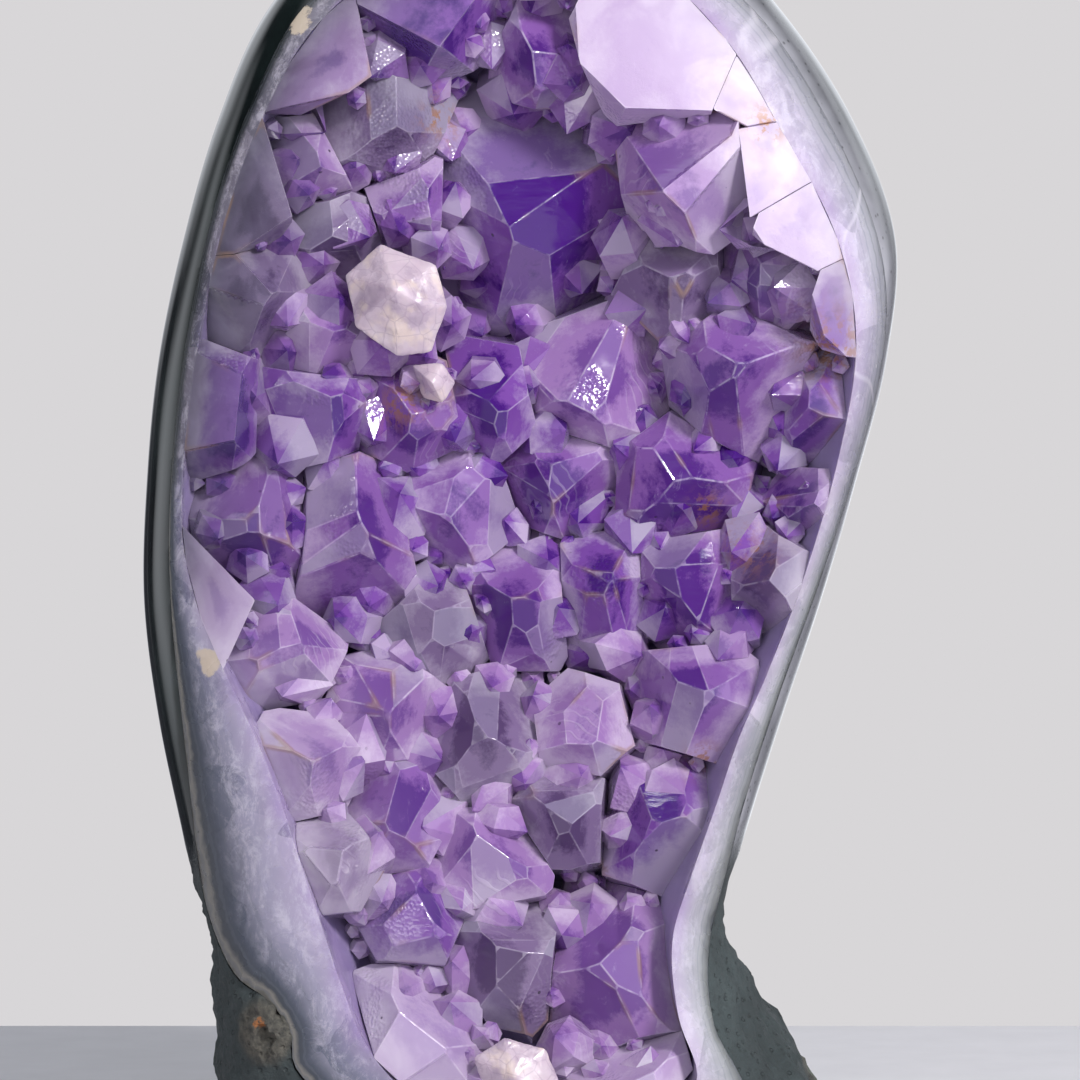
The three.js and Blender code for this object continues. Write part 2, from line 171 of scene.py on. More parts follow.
def distance_to_curve(points, curve):
    """Distance of each 2-D point to the nearest point of a finely sampled curve."""
    out = np.empty(len(points))
    for start in range(0, len(points), 4000):
        part = points[start : start + 4000]
        out[start : start + 4000] = np.sqrt(
            ((part[:, None, :] - curve[None]) ** 2).sum(2).min(1)
        )
    return out


def coordinates(mesh):
    """The mesh's vertices in millimetres."""
    flat = np.empty(len(mesh.vertices) * 3, np.float32)
    mesh.vertices.foreach_get("co", flat)
    return flat.reshape(-1, 3).astype(float) / MM


def set_coordinates(mesh, points):
    mesh.vertices.foreach_set("co", (points * MM).astype(np.float32).ravel())
    mesh.update()


def vertex_normals(mesh):
    flat = np.empty(len(mesh.vertices) * 3, np.float32)
    mesh.vertex_normals.foreach_get("vector", flat)
    return flat.reshape(-1, 3).astype(float)


def put_attribute(mesh, name, values, domain="POINT"):
    attribute = mesh.attributes.new(name, "FLOAT", domain)
    attribute.data.foreach_set("value", np.asarray(values, np.float32))


def fractal(points, size, octaves=3, seed=0.0):
    """Layered noise from about -1 to 1 at each point; size is its largest swell in millimetres."""
    shift = Vector((seed * 17.3, seed * -9.1, seed * 5.7))
    return np.array(
        [noise.fractal(Vector(p) / size + shift, 1.0, 2.1, octaves) for p in points]
    )


def lumps(points, size):
    """Rounded lumps with sharp creases between them, from about -0.5 to 0.5."""
    return np.array([0.5 - noise.voronoi(Vector(p) / size)[0][0] for p in points])


def object_from(name, vertices, faces):
    mesh = bpy.data.meshes.new(name)
    mesh.from_pydata([tuple(v * MM) for v in np.asarray(vertices, float)], [], faces)
    mesh.update()
    made = bpy.data.objects.new(name, mesh)
    bpy.context.scene.collection.objects.link(made)
    return made


def loft(name, rings):
    """A closed body through rings of equal length, with a fan at each end."""
    count = len(rings[0])
    vertices = np.vstack(rings + [rings[0].mean(0)[None], rings[-1].mean(0)[None]])
    first_fan, last_fan = len(vertices) - 2, len(vertices) - 1
    faces = []
    for ring in range(len(rings) - 1):
        a = ring * count
        for i in range(count):
            j = (i + 1) % count
            faces.append((a + i, a + j, a + count + j, a + count + i))
    top = (len(rings) - 1) * count
    for i in range(count):
        j = (i + 1) % count
        faces.append((first_fan, j, i))
        faces.append((last_fan, top + i, top + j))
    return object_from(name, vertices, faces)


def boolean(target, tool, operation):
    """Cuts target with tool, or keeps what they share, and returns target."""
    step = target.modifiers.new("cut", "BOOLEAN")
    step.object = tool
    step.operation = operation
    step.solver = "EXACT"
    graph = bpy.context.evaluated_depsgraph_get()
    result = bpy.data.meshes.new_from_object(target.evaluated_get(graph))
    target.modifiers.clear()
    target.data = result
    return target


def discard(*objects):
    for one in objects:
        bpy.data.objects.remove(one, do_unlink=True)


def mark_sharp_edges(mesh, degrees):
    """Smooth shading that breaks at edges sharper than the angle."""
    bm = bmesh.new()
    bm.from_mesh(mesh)
    limit = math.radians(degrees)
    for face in bm.faces:
        face.smooth = True
    for edge in bm.edges:
        edge.smooth = len(edge.link_faces) == 2 and edge.calc_face_angle(0) < limit
    bm.to_mesh(mesh)
    bm.free()


# ---- Material helpers ---------------------------------------------------------------------------


class Nodes:
    """Short calls for building one material's node tree round a Principled shader."""

    def __init__(self, name):
        self.material = bpy.data.materials.new(name)
        self.material.use_nodes = True
        self.tree = self.material.node_tree
        self.shader = self.tree.nodes["Principled BSDF"]
        self.place = self.add("ShaderNodeTexCoord").outputs["Object"]

    def add(self, kind, **settings):
        node = self.tree.nodes.new(kind)
        for key, value in settings.items():
            setattr(node, key, value)
        return node

    def feed(self, socket, value):
        if isinstance(value, bpy.types.NodeSocket):
            self.tree.links.new(value, socket)
        else:
            socket.default_value = value

    def attribute(self, name):
        return self.add("ShaderNodeAttribute", attribute_name=name).outputs["Fac"]

    def noise(self, scale, detail=3.0, roughness=0.55, stretch=(1, 1, 1), distortion=0.0):
        mapping = self.add("ShaderNodeMapping")
        self.feed(mapping.inputs["Vector"], self.place)
        mapping.inputs["Scale"].default_value = stretch
        texture = self.add("ShaderNodeTexNoise")
        self.feed(texture.inputs["Vector"], mapping.outputs["Vector"])
        texture.inputs["Scale"].default_value = scale
        texture.inputs["Detail"].default_value = detail
        texture.inputs["Roughness"].default_value = roughness
        texture.inputs["Distortion"].default_value = distortion
        return texture.outputs["Fac"]

    def grains(self, scale):
        """A random tone for each grain of quartz."""
        texture = self.add("ShaderNodeTexVoronoi")
        self.feed(texture.inputs["Vector"], self.warped(12))
        texture.inputs["Scale"].default_value = scale
        split = self.add("ShaderNodeSeparateColor")
        self.feed(split.inputs["Color"], texture.outputs["Color"])
        return split.outputs["Red"]

    def warped(self, amount_mm):
        """The place in the object, pushed about so that straight patterns turn irregular."""
        texture = self.add("ShaderNodeTexNoise")
        self.feed(texture.inputs["Vector"], self.place)
        texture.inputs["Scale"].default_value = 60
        push = self.add("ShaderNodeVectorMath", operation="MULTIPLY_ADD")
        self.feed(push.inputs[0], texture.outputs["Color"])
        push.inputs[1].default_value = (amount_mm * MM,) * 3
        self.feed(push.inputs[2], self.place)
        return push.outputs["Vector"]

    def waves(self, scale, distortion):
        """Thin wavering parallel lines, 1 on a line and 0 between."""
        texture = self.add("ShaderNodeTexWave", wave_type="BANDS", bands_direction="DIAGONAL")
        self.feed(texture.inputs["Vector"], self.place)
        texture.inputs["Scale"].default_value = scale
        texture.inputs["Distortion"].default_value = distortion
        texture.inputs["Detail"].default_value = 2.0
        texture.inputs["Detail Scale"].default_value = 0.6
        return self.between(texture.outputs["Fac"], 0.8, 0.98)

    def cells(self, scale, feature="F1"):
        """The distance to the nearest of many scattered points, or to the edge between two."""
        texture = self.add("ShaderNodeTexVoronoi", feature=feature)
        self.feed(texture.inputs["Vector"], self.place)
        texture.inputs["Scale"].default_value = scale
        return texture.outputs["Distance"]

    def math(self, operation, a, b=0.0, clamp=False):
        node = self.add("ShaderNodeMath", operation=operation, use_clamp=clamp)
        self.feed(node.inputs[0], a)
        self.feed(node.inputs[1], b)
        return node.outputs[0]

    def between(self, value, low, high, to_low=0.0, to_high=1.0):
        """Maps low..high to to_low..to_high, smoothly and held at both ends."""
        node = self.add("ShaderNodeMapRange", interpolation_type="SMOOTHSTEP")
        self.feed(node.inputs["Value"], value)
        for key, number in zip(
            ("From Min", "From Max", "To Min", "To Max"), (low, high, to_low, to_high)
        ):
            node.inputs[key].default_value = number
        return node.outputs["Result"]

    def ramp(self, value, stops):
        node = self.add("ShaderNodeValToRGB")
        self.feed(node.inputs["Fac"], value)
        elements = node.color_ramp.elements
        while len(elements) < len(stops):
            elements.new(0.5)
        for element, (at, color) in zip(elements, stops):
            element.position = at
            element.color = hex_color(color)
        return node.outputs["Color"]

    def mix(self, amount, a, b):
        node = self.add("ShaderNodeMix", data_type="RGBA")
        self.feed(node.inputs["Factor"], amount)
        self.feed(node.inputs["A"], hex_color(a) if isinstance(a, str) else a)
        self.feed(node.inputs["B"], hex_color(b) if isinstance(b, str) else b)
        return node.outputs["Result"]

    def bump(self, height, distance_mm, strength=1.0):
        node = self.add("ShaderNodeBump")
        self.feed(node.inputs["Height"], height)
        node.inputs["Distance"].default_value = distance_mm * MM
        node.inputs["Strength"].default_value = strength
        self.feed(self.shader.inputs["Normal"], node.outputs["Normal"])

    def set(self, **sockets):
        for key, value in sockets.items():
            self.feed(self.shader.inputs[key.replace("_", " ")], value)


def hex_color(text):
    """A linear colour from sRGB hex digits."""
    channels = [int(text[i : i + 2], 16) / 255 for i in (0, 2, 4)]
    linear = [c / 12.92 if c <= 0.04045 else ((c + 0.055) / 1.055) ** 2.4 for c in channels]
    return (*linear, 1.0)


# ---- Materials ----------------------------------------------------------------------------------


def rock_material():
    """Basalt: black-green and glossy where it is polished, matt grey-green with specks elsewhere."""
    n = Nodes("basalt")
    polish = n.attribute("polish")
    stain = n.attribute("stain")
    cloud = n.noise(45, 4, 0.6)
    grain = n.noise(900, 3, 0.7)
    specks = n.between(n.cells(420), 0.08, 0.2)
    rough_color = n.ramp(
        n.math("ADD", n.math("MULTIPLY", cloud, 0.6), n.math("MULTIPLY", grain, 0.4)),
        [(0.25, "1c2223"), (0.45, "30383a"), (0.62, "414b4d"), (0.8, "59625f")],
    )
    polished_color = n.ramp(cloud, [(0.3, "0a0f10"), (0.5, "121b1a"), (0.65, "1d2826"), (0.8, "2c353b")])
    color = n.mix(polish, rough_color, polished_color)
    color = n.mix(n.attribute("pale"), color, n.ramp(cloud, [(0.3, "77787f"), (0.7, "a3a3ac")]))
    color = n.mix(n.math("MULTIPLY", n.math("SUBTRACT", 1.0, specks), 0.55), color, "141917")
    crust = n.math("MULTIPLY", n.between(n.noise(28, 5, 0.65), 0.52, 0.62), n.attribute("back"))
    color = n.mix(n.math("MULTIPLY", crust, 0.45), color, "776f62")
    moss = n.math("MULTIPLY", n.between(n.noise(36, 4, 0.6), 0.56, 0.66), n.attribute("back"))
    color = n.mix(n.math("MULTIPLY", moss, 0.4), color, "5d7064")
    rust = n.between(n.math("MULTIPLY", stain, n.noise(900, 4, 0.7)), 0.3, 0.45)
    crumbs = n.ramp(grain, [(0.35, "39352f"), (0.65, "6d675d")])
    color = n.mix(n.math("MULTIPLY", n.attribute("nodule"), 0.7), color, crumbs)
    color = n.mix(rust, color, "9a6238")
    worn = n.between(grain, 0.3, 0.7, 0.55, 0.85)
    glossy = n.between(cloud, 0.3, 0.7, 0.06, 0.16)
    roughness = n.add("ShaderNodeMix", data_type="FLOAT")
    n.feed(roughness.inputs["Factor"], polish)
    n.feed(roughness.inputs["A"], worn)
    n.feed(roughness.inputs["B"], glossy)
    pits = n.between(n.cells(520), 0.12, 0.3)
    rubble = n.math("ADD", n.math("MULTIPLY", n.noise(420, 8, 0.75), 1.6), pits)
    n.bump(n.math("MULTIPLY", rubble, n.math("SUBTRACT", 1.0, polish)), 0.55)
    n.set(
        Base_Color=color,
        Roughness=roughness.outputs["Result"],
        IOR=1.6,
        Specular_IOR_Level=0.32,
    )
    return n.material


def agate_material():
    """Agate: polished, cloudy, with bands that follow the border to the rock."""
    n = Nodes("agate")
    band, side, crown = n.attribute("band"), n.attribute("side"), n.attribute("crown")
    wander = n.math("MULTIPLY", n.math("SUBTRACT", n.noise(70, 3), 0.5), 0.14)
    fine = n.math("MULTIPLY", n.math("SUBTRACT", n.noise(420, 3), 0.5), 0.08)
    at = n.math("ADD", n.math("ADD", band, wander), fine, clamp=True)
    left = n.ramp(
        at,
        [(0.0, "55534f"), (0.06, "7d7a75"), (0.11, "3c414a"), (0.24, "454c5b"), (0.42, "616779"),
         (0.6, "80809a"), (0.8, "968dab"), (1.0, "9580b0")],
    )  # fmt: skip
    right = n.ramp(
        at,
        [(0.0, "3f4343"), (0.08, "6d7071"), (0.25, "999ba0"), (0.5, "adadb6"), (0.8, "b9b0c4"),
         (1.0, "b2a3c4")],
    )  # fmt: skip
    crown_left = n.ramp(at, [(0.0, "14191a"), (0.4, "2c3036"), (0.8, "484854"), (1.0, "5d596b")])
    crown_right = n.ramp(at, [(0.0, "8b8c94"), (0.25, "a09fab"), (0.6, "b5adc4"), (1.0, "bba9cb")])
    at_foot = n.mix(side, left, right)
    color = n.mix(crown, at_foot, n.mix(side, crown_left, crown_right))
    inner = n.between(at, 0.15, 0.55)
    grains = n.mix(n.grains(85), "4d4a63", "d2c6dd")
    color = n.mix(n.math("MULTIPLY", inner, 0.3), color, grains)
    stripes = n.math("SINE", n.math("MULTIPLY", at, 48.0))
    stripes = n.math("MULTIPLY", n.between(stripes, 0.55, 0.95), n.between(at, 0.1, 0.75, 0.35, 0.0))
    color = n.mix(stripes, color, "5f6470")
    frost = n.between(n.noise(230, 9, 0.85, (1, 1, 0.6), 0.4), 0.46, 0.62)
    color = n.mix(n.math("MULTIPLY", n.math("MULTIPLY", frost, inner), 0.5), color, "d6d0e0")
    murk = n.between(n.noise(60, 4, 0.6, (1, 1, 0.4), 1.0), 0.45, 0.7)
    color = n.mix(n.math("MULTIPLY", murk, 0.25), color, "4f5260")
    violet = n.math("MULTIPLY", n.between(n.noise(45, 3), 0.5, 0.65), n.between(at, 0.55, 1.0))
    color = n.mix(n.math("MULTIPLY", violet, 0.5), color, "9a80b4")
    vein = n.math("ABSOLUTE", n.math("SUBTRACT", n.noise(32, 1, 0.4), 0.5))
    vein = n.math("MULTIPLY", n.between(vein, 0.0, 0.012, 1.0, 0.0), n.math("MULTIPLY", crown, side))
    color = n.mix(n.math("MULTIPLY", vein, 0.3), color, "e6e0ee")
    cream = n.between(n.math("MULTIPLY", n.attribute("cream"), n.noise(520, 8, 0.85)), 0.25, 0.33)
    color = n.mix(n.math("MULTIPLY", cream, 0.85), color, "cbbba8")
    druse = n.attribute("druse")
    color = n.mix(n.math("MULTIPLY", druse, 0.8), color, "8f7fae")
    glossy = n.between(n.noise(120, 3), 0.3, 0.7, 0.16, 0.34)
    roughness = n.math("ADD", glossy, n.math("MULTIPLY", druse, 0.15))
    n.bump(n.math("MULTIPLY", n.noise(800, 3), 0.3), 0.08, 0.5)
    n.set(
        Base_Color=color,
        Roughness=roughness,
        IOR=1.54,
        Transmission_Weight=0.12,
        Subsurface_Weight=0.25,
        Subsurface_Radius=(0.004, 0.004, 0.006),
        Subsurface_Scale=1.0,
    )
    return n.material


# Per kind of amethyst: core, body, rim and line colour, and how much light it lets through.
AMETHYST = {
    "amethyst_deep": ("501e8a", "8a55b6", "ccb7de", "dccdea", 0.4),
    "amethyst_violet": ("582b88", "8e60b0", "c2a8d4", "dccdea", 0.33),
    "amethyst_lilac": ("7a509f", "a67fbe", "cdb8da", "e4d8ee", 0.28),
    "amethyst_pale": ("9f82b8", "b59cc6", "c6b4d2", "e2d8ea", 0.18),
    "amethyst_smoky": ("5a4470", "86709a", "b3a6bf", "cdc2d8", 0.32),
}


def amethyst_material(name):
    """Amethyst: dark cores behind the tips, paler rims, thin pale edges, veils and rusty cracks, and some
    facets painted blue-grey as a painted reflection of the grey surroundings.
    """
    core, body, rim, line, clear = AMETHYST[name]
    n = Nodes(name)
    edge, outline, depth = n.attribute("edge"), n.attribute("outline"), n.attribute("depth")
    facet, tint = n.attribute("facet"), n.attribute("tint")
    smoke, milk, stain = n.attribute("smoke"), n.attribute("milk"), n.attribute("stain")
    cloud = n.noise(85, 3, 0.6, distortion=0.8)
    wisps = n.noise(260, 4, 0.65, (1, 1, 0.4))
    zone = n.math("MULTIPLY", n.math("SUBTRACT", cloud, 0.5), 1.1)
    zone = n.math("ADD", zone, n.math("MULTIPLY", n.math("SUBTRACT", wisps, 0.5), 0.4))
    zone = n.math("ADD", zone, n.math("MULTIPLY", n.math("SUBTRACT", facet, 0.5), 0.6))
    zone = n.math("ADD", zone, n.math("MULTIPLY", n.math("SUBTRACT", tint, 0.5), 0.3))
    dust = n.math("SUBTRACT", n.noise(900, 6, 0.75), 0.5)
    zone = n.math("ADD", zone, n.math("MULTIPLY", dust, 0.5))
    zone = n.math("ADD", zone, n.math("MULTIPLY", depth, 0.25))
    pale = n.between(outline, 0.0, 0.42, 0.62, 0.0)
    zone = n.math("ADD", zone, pale)
    color = n.ramp(zone, [(0.0, core), (0.22, body), (0.42, body), (0.85, rim)])
    # Painted reflection: a random few facets are mixed towards blue-grey, standing in for facets that
    # mirror the grey surroundings.
    grey = n.between(facet, 0.8, 0.9)
    color = n.mix(n.math("MULTIPLY", grey, 0.4), color, "8d8ba4")
    veil = n.between(n.noise(190, 6, 0.75, (1.0, 0.6, 0.3), 1.5), 0.6, 0.75)
    color = n.mix(n.math("MULTIPLY", veil, 0.3), color, line)
    lines = n.between(edge, 0.06, 0.3, 1.0, 0.0)
    broken = n.between(n.noise(330, 3), 0.35, 0.6, 0.05, 0.5)
    color = n.mix(n.math("MULTIPLY", lines, broken), color, line)
    color = n.mix(n.math("MULTIPLY", smoke, 0.85), color, n.ramp(cloud, [(0.3, "34383f"), (0.7, "77748a")]))
    color = n.mix(n.math("MULTIPLY", milk, 0.8), color, n.ramp(cloud, [(0.3, "b8a7c6"), (0.7, "d8cfe0")]))
    growth_lines = n.math("MULTIPLY", n.waves(190, 12), n.between(n.noise(38, 2), 0.6, 0.7))
    color = n.mix(n.math("MULTIPLY", growth_lines, 0.2), color, line)
    specks = n.between(n.cells(190), 0.05, 0.09, 0.8, 0.0)
    color = n.mix(n.math("MULTIPLY", specks, n.between(cloud, 0.55, 0.65)), color, "1b1722")
    rust = n.math("MULTIPLY", stain, n.between(n.noise(420, 4, 0.7), 0.46, 0.58))
    seams = n.math("MULTIPLY", n.between(edge, 0.3, 0.8, 1.0, 0.0), n.between(n.noise(60, 2), 0.56, 0.68))
    color = n.mix(n.math("MULTIPLY", seams, 0.5), color, "a4805f")
    color = n.mix(n.math("MULTIPLY", rust, 0.85), color, "b07a44")
    roughness = n.between(n.noise(240, 4), 0.35, 0.75, 0.04, 0.16)
    roughness = n.math("ADD", roughness, n.math("MULTIPLY", n.attribute("cap"), 0.38))
    growth = n.noise(150, 2, 0.5, (1, 1, 5))
    glitter = n.math("MULTIPLY", n.cells(1300), n.between(n.noise(48, 2), 0.56, 0.66, 0.0, 4.0))
    relief = n.math("ADD", n.math("ADD", growth, glitter), growth_lines)
    cap = n.attribute("cap")
    relief = n.math("MULTIPLY", relief, n.between(cap, 0.2, 1.0, 1.0, 0.15))
    bruises = n.math("MULTIPLY", n.noise(520, 6, 0.8), n.between(n.noise(70, 3), 0.42, 0.6, 0.2, 2.2))
    relief = n.math("ADD", relief, n.math("MULTIPLY", bruises, cap))
    n.bump(relief, 0.08, 0.6)
    n.set(
        Base_Color=color,
        Roughness=roughness,
        IOR=1.55,
        Transmission_Weight=clear,
        Subsurface_Weight=0.12,
        Subsurface_Radius=(0.003, 0.002, 0.004),
        Subsurface_Scale=1.0,
    )
    return n.material


def calcite_material():
    """Calcite: waxy pinkish white with cleavage lines and cream patches."""
    n = Nodes("calcite")
    cloud = n.noise(110, 4)
    color = n.ramp(cloud, [(0.3, "98879c"), (0.5, "b9a8b6"), (0.7, "c8bcc2")])
    cream = n.between(n.noise(190, 3), 0.5, 0.7)
    color = n.mix(n.math("MULTIPLY", cream, 0.5), color, "d9c8b6")
    cracks = n.between(n.cells(260, "DISTANCE_TO_EDGE"), 0.0, 0.05, 1.0, 0.0)
    color = n.mix(n.math("MULTIPLY", cracks, 0.35), color, "8a7690")
    n.bump(n.noise(520, 5, 0.7), 0.18, 0.5)
    n.set(
        Base_Color=color,
        Roughness=n.between(cloud, 0.3, 0.7, 0.22, 0.4),
        IOR=1.6,
        Subsurface_Weight=0.35,
        Subsurface_Radius=(0.005, 0.004, 0.004),
        Subsurface_Scale=1.0,
    )
    return n.material


# ---- Rock and agate -----------------------------------------------------------------------------

RING_POINTS = 300
LEVEL_STEP = 1.5
OUTLINE_POINTS = 300


def stone_body():
    """The whole stone before anything is cut: level rings from the foot to the crown."""
    angle = np.linspace(0, 2 * math.pi, 2400, endpoint=False)
    c, s = np.cos(angle), np.sin(angle)
    power = np.where(s < 0, 2 / FACE_FLATNESS, 2 / BACK_FLATNESS)
    depth = np.where(s < 0, FACE_DEPTH, BACK_DEPTH)
    rings = []
    for z in np.arange(0, HEIGHT + 0.1, LEVEL_STEP):
        centre, half, deep = section(z)
        x = centre + half * np.sign(c) * np.abs(c) ** power
        y = MIDDLE_Y + depth * deep * np.sign(s) * np.abs(s) ** power
        ring = np.stack([x, y, np.full_like(x, z)], axis=1)
        rings.append(evenly_spaced(ring, RING_POINTS, closed=True))
    for ring, index in ((rings[0], 0), (rings[-1], len(rings))):
        middle = ring.mean(0)
        inner = [middle + (ring - middle) * scale for scale in (0.9, 0.75, 0.5, 0.25)]
        rings = inner[::-1] + rings if index == 0 else rings + inner
    return loft("stone", rings)


def pocket_body(border, steps, margin=0.0):
    """The room inside a border, narrowing as the steps say."""
    edge = closed_curve(border, OUTLINE_POINTS)
    along = np.roll(edge, -1, axis=0) - np.roll(edge, 1, axis=0)
    along /= np.linalg.norm(along, axis=1)[:, None]
    inward = np.stack([along[:, 1], -along[:, 0]], axis=1)
    rings = []
    for y, scale in steps:
        flat = HOLLOW_CENTRE + (edge - HOLLOW_CENTRE) * scale + inward * margin
        rings.append(np.stack([flat[:, 0], np.full(len(flat), float(y)), flat[:, 1]], axis=1))
    rings[-1][:, 1] -= margin
    return loft("pocket", rings)


def roughen_rock(mesh):
    """Breaks up the back, the foot and the pitted lump, and leaves the polished rim smooth."""
    points, normals = coordinates(mesh), vertex_normals(mesh)
    x, y, z = points.T
    border = closed_curve(ROCK_BORDER, 900)
    from_border = distance_to_curve(points[:, [0, 2]], border)
    behind = smoothstep(MIDDLE_Y - 3, MIDDLE_Y + 5, y)
    at_foot = 1 - smoothstep(46, 66, z + fractal(points, 30, 2, 3.0) * 8)
    outside = smoothstep(0.3, 3.0, from_border)
    rough = np.maximum(behind, at_foot * 0.9) * outside
    lump = np.exp(-(((x + 49) / 5.5) ** 2 + ((z - 27) / 6.5) ** 2)) * (y < MIDDLE_Y)
    swell = fractal(points, 26, 2, 1.0)
    knobs = lumps(points, 13) + 0.6 * lumps(points, 5.5)
    grit = fractal(points, 2.2, 3, 4.0)
    lift = rough * (1.8 * swell + 2.2 * knobs + 0.75 * grit - 0.6)
    pits = np.minimum(fractal(points, 2.6, 2, 5.0), 0)
    lift += lump * (2.0 + 3.2 * pits)
    groove = np.exp(-((from_border / 1.1) ** 2)) * (1 - smoothstep(40, 62, z)) * (x < 10)
    lift -= groove * 0.7 * (y < MIDDLE_Y)
    ridge = np.exp(-(((x - 50 - 0.35 * (30 - z)) / 1.6) ** 2)) * (1 - smoothstep(38, 48, z))
    lift += ridge * 1.6 * (y < MIDDLE_Y)
    lift *= smoothstep(0.0, 2.0, z)
    polish = (1 - behind) * (1 - at_foot) * (1 - smoothstep(0.3, 0.6, lump))
    set_coordinates(mesh, points + normals * lift[:, None])
    put_attribute(mesh, "polish", polish)
    put_attribute(mesh, "back", behind)
    put_attribute(mesh, "nodule", smoothstep(0.25, 0.5, lump))
    pale = smoothstep(0, 30, x) * smoothstep(55, 70, z) * (y < MIDDLE_Y)
    put_attribute(mesh, "pale", pale * np.exp(-((from_border / 3.0) ** 2)))
    rust = np.exp(-(((x + 50) / 1.6) ** 2 + ((z - 28.5) / 2.0) ** 2)) * (y < MIDDLE_Y)
    put_attribute(mesh, "stain", rust)


def paint_agate(mesh):
    """Where each point of the agate lies between rock and crystals, and on which side."""
    points = coordinates(mesh)
    x, y, z = points.T
    flat = points[:, [0, 2]]
    to_rock = distance_to_curve(flat, closed_curve(ROCK_BORDER, 900))
    to_crystals = distance_to_curve(flat, closed_curve(CRYSTAL_BORDER, 900))
    on_face = smoothstep(1.2, 0.4, y - face_y(x, z))
    put_attribute(mesh, "band", to_rock / (to_rock + to_crystals + 0.01))
    put_attribute(mesh, "side", smoothstep(-12, 20, x))
    put_attribute(mesh, "crown", smoothstep(110, 150, z))
    put_attribute(mesh, "druse", 1 - on_face)
    cream = np.exp(-(((x + 60) / 4) ** 2 + ((z - 99) / 4) ** 2))
    cream += np.exp(-(((x + 43) / 4.5) ** 2 + ((z - 225) / 5) ** 2))
    put_attribute(mesh, "cream", np.clip(cream * 1.3 - 0.35 + 0.5 * fractal(points, 4, 3, 6.0), 0, 1))


def make_rock_and_agate():
    stone = stone_body()
    agate = stone.copy()
    agate.data = stone.data.copy()
    bpy.context.scene.collection.objects.link(agate)
    pocket = pocket_body(ROCK_BORDER, ROCK_POCKET)
    boolean(stone, pocket, "DIFFERENCE")
    inner = pocket_body(ROCK_BORDER, ROCK_POCKET, 0.04)
    hollow = pocket_body(CRYSTAL_BORDER, CRYSTAL_POCKET, 0.28)
    boolean(agate, inner, "INTERSECT")
    boolean(agate, hollow, "DIFFERENCE")
    discard(pocket, inner, hollow)
    roughen_rock(stone.data)
    paint_agate(agate.data)
    for made, name, node, material, slot in (
        (stone, "rock_shell", "basalt_matrix", rock_material(), "basalt"),
        (agate, "agate_band", "agate_lining", agate_material(), "agate"),
    ):
        made.name = name
        mark_sharp_edges(made.data, 35)
        made.data.materials.clear()
        made.data.materials.append(material)
        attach(made, "root")
        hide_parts(node)
    return agate


# ---- Crystals -----------------------------------------------------------------------------------

EDGE_ROUNDING = 0.22  # millimetres
FACET_MESH = 1.3  # longest edge of the fine mesh on a visible facet
SEAM_FILL = 0.13  # how far a crystal swells to close the gap that the CAD solids keep
SHOWN_DEPTH = 26.0  # how far behind its tip a crystal is finely meshed
FACET_WAVES = 0.03  # how far the facets are from flat
EXTRA_FACETS = 5

# Where iron stains the crystals: x, z and radius.
STAIN_SPOTS = [
    (61, 160, 6), (45, 121, 4), (-16, 205, 3), (37, 128, 3), (-23, 149, 4), (36, 79, 3),
    (48, 203, 4),
]  # fmt: skip


def welded_copy(node):
    """The CAD node's mesh as a bmesh in millimetres with whole facets."""
    bm = bmesh.new()
    bm.from_mesh(frame["nodes"][node].data)
    bmesh.ops.scale(bm, vec=(1 / MM,) * 3, verts=bm.verts)
    bmesh.ops.remove_doubles(bm, verts=bm.verts, dist=0.01)
    bmesh.ops.dissolve_degenerate(bm, dist=0.02, edges=bm.edges)
    bmesh.ops.dissolve_limit(
        bm, angle_limit=math.radians(1.5), verts=bm.verts, edges=bm.edges
    )
    return bm


def on_face(vertex, within=1.0):
    return vertex.co.y - float(face_y(vertex.co.x, vertex.co.z)) < within


def merge_polished_cut(bm):
    """Joins the small flats where the polished face cuts a crystal into one facet."""
    inside = [
        edge
        for edge in bm.edges
        if len(edge.link_faces) == 2
        and all(all(on_face(v) for v in face.verts) for face in edge.link_faces)
        and all(face.normal.y < -0.3 for face in edge.link_faces)
    ]
    if inside:
        bmesh.ops.dissolve_edges(bm, edges=inside, use_verts=True)


def edge_ends(edges):
    """End points of edges, as two arrays."""
    ends = [(tuple(e.verts[0].co), tuple(e.verts[1].co)) for e in edges]
    ends = np.array(ends, float).reshape(-1, 2, 3)
    return ends[:, 0], ends[:, 1]


def sharp_edges(bm, degrees):
    limit = math.radians(degrees)
    return [e for e in bm.edges if len(e.link_faces) == 2 and e.calc_face_angle(0) > limit]


def outline_edges(edges, along):
    """The edges where a crystal turns away from a viewer who looks down on its tip."""
    toward = Vector(along)
    return [e for e in edges if min(f.normal.dot(toward) for f in e.link_faces) < 0.25]


def distance_to_segments(points, start, end):
    best = np.full(len(points), 1e9)
    for a, b in zip(start, end):
        d = b - a
        t = np.clip(((points - a) @ d) / max(d @ d, 1e-9), 0, 1)
        best = np.minimum(best, np.linalg.norm(points - a - t[:, None] * d, axis=1))
    return best


def subdivide_shown(bm, behind_y):
    """Splits long edges in front of behind_y until the facets have a fine, even mesh."""
    bmesh.ops.triangulate(bm, faces=bm.faces)
    for _ in range(7):
        long_edges = [
            e
            for e in bm.edges
            if min(e.verts[0].co.y, e.verts[1].co.y) < behind_y and e.calc_length() > FACET_MESH
        ]
        if not long_edges:
            return
        bmesh.ops.subdivide_edges(bm, edges=long_edges, cuts=1)
        bmesh.ops.triangulate(bm, faces=[f for f in bm.faces if len(f.verts) > 3])


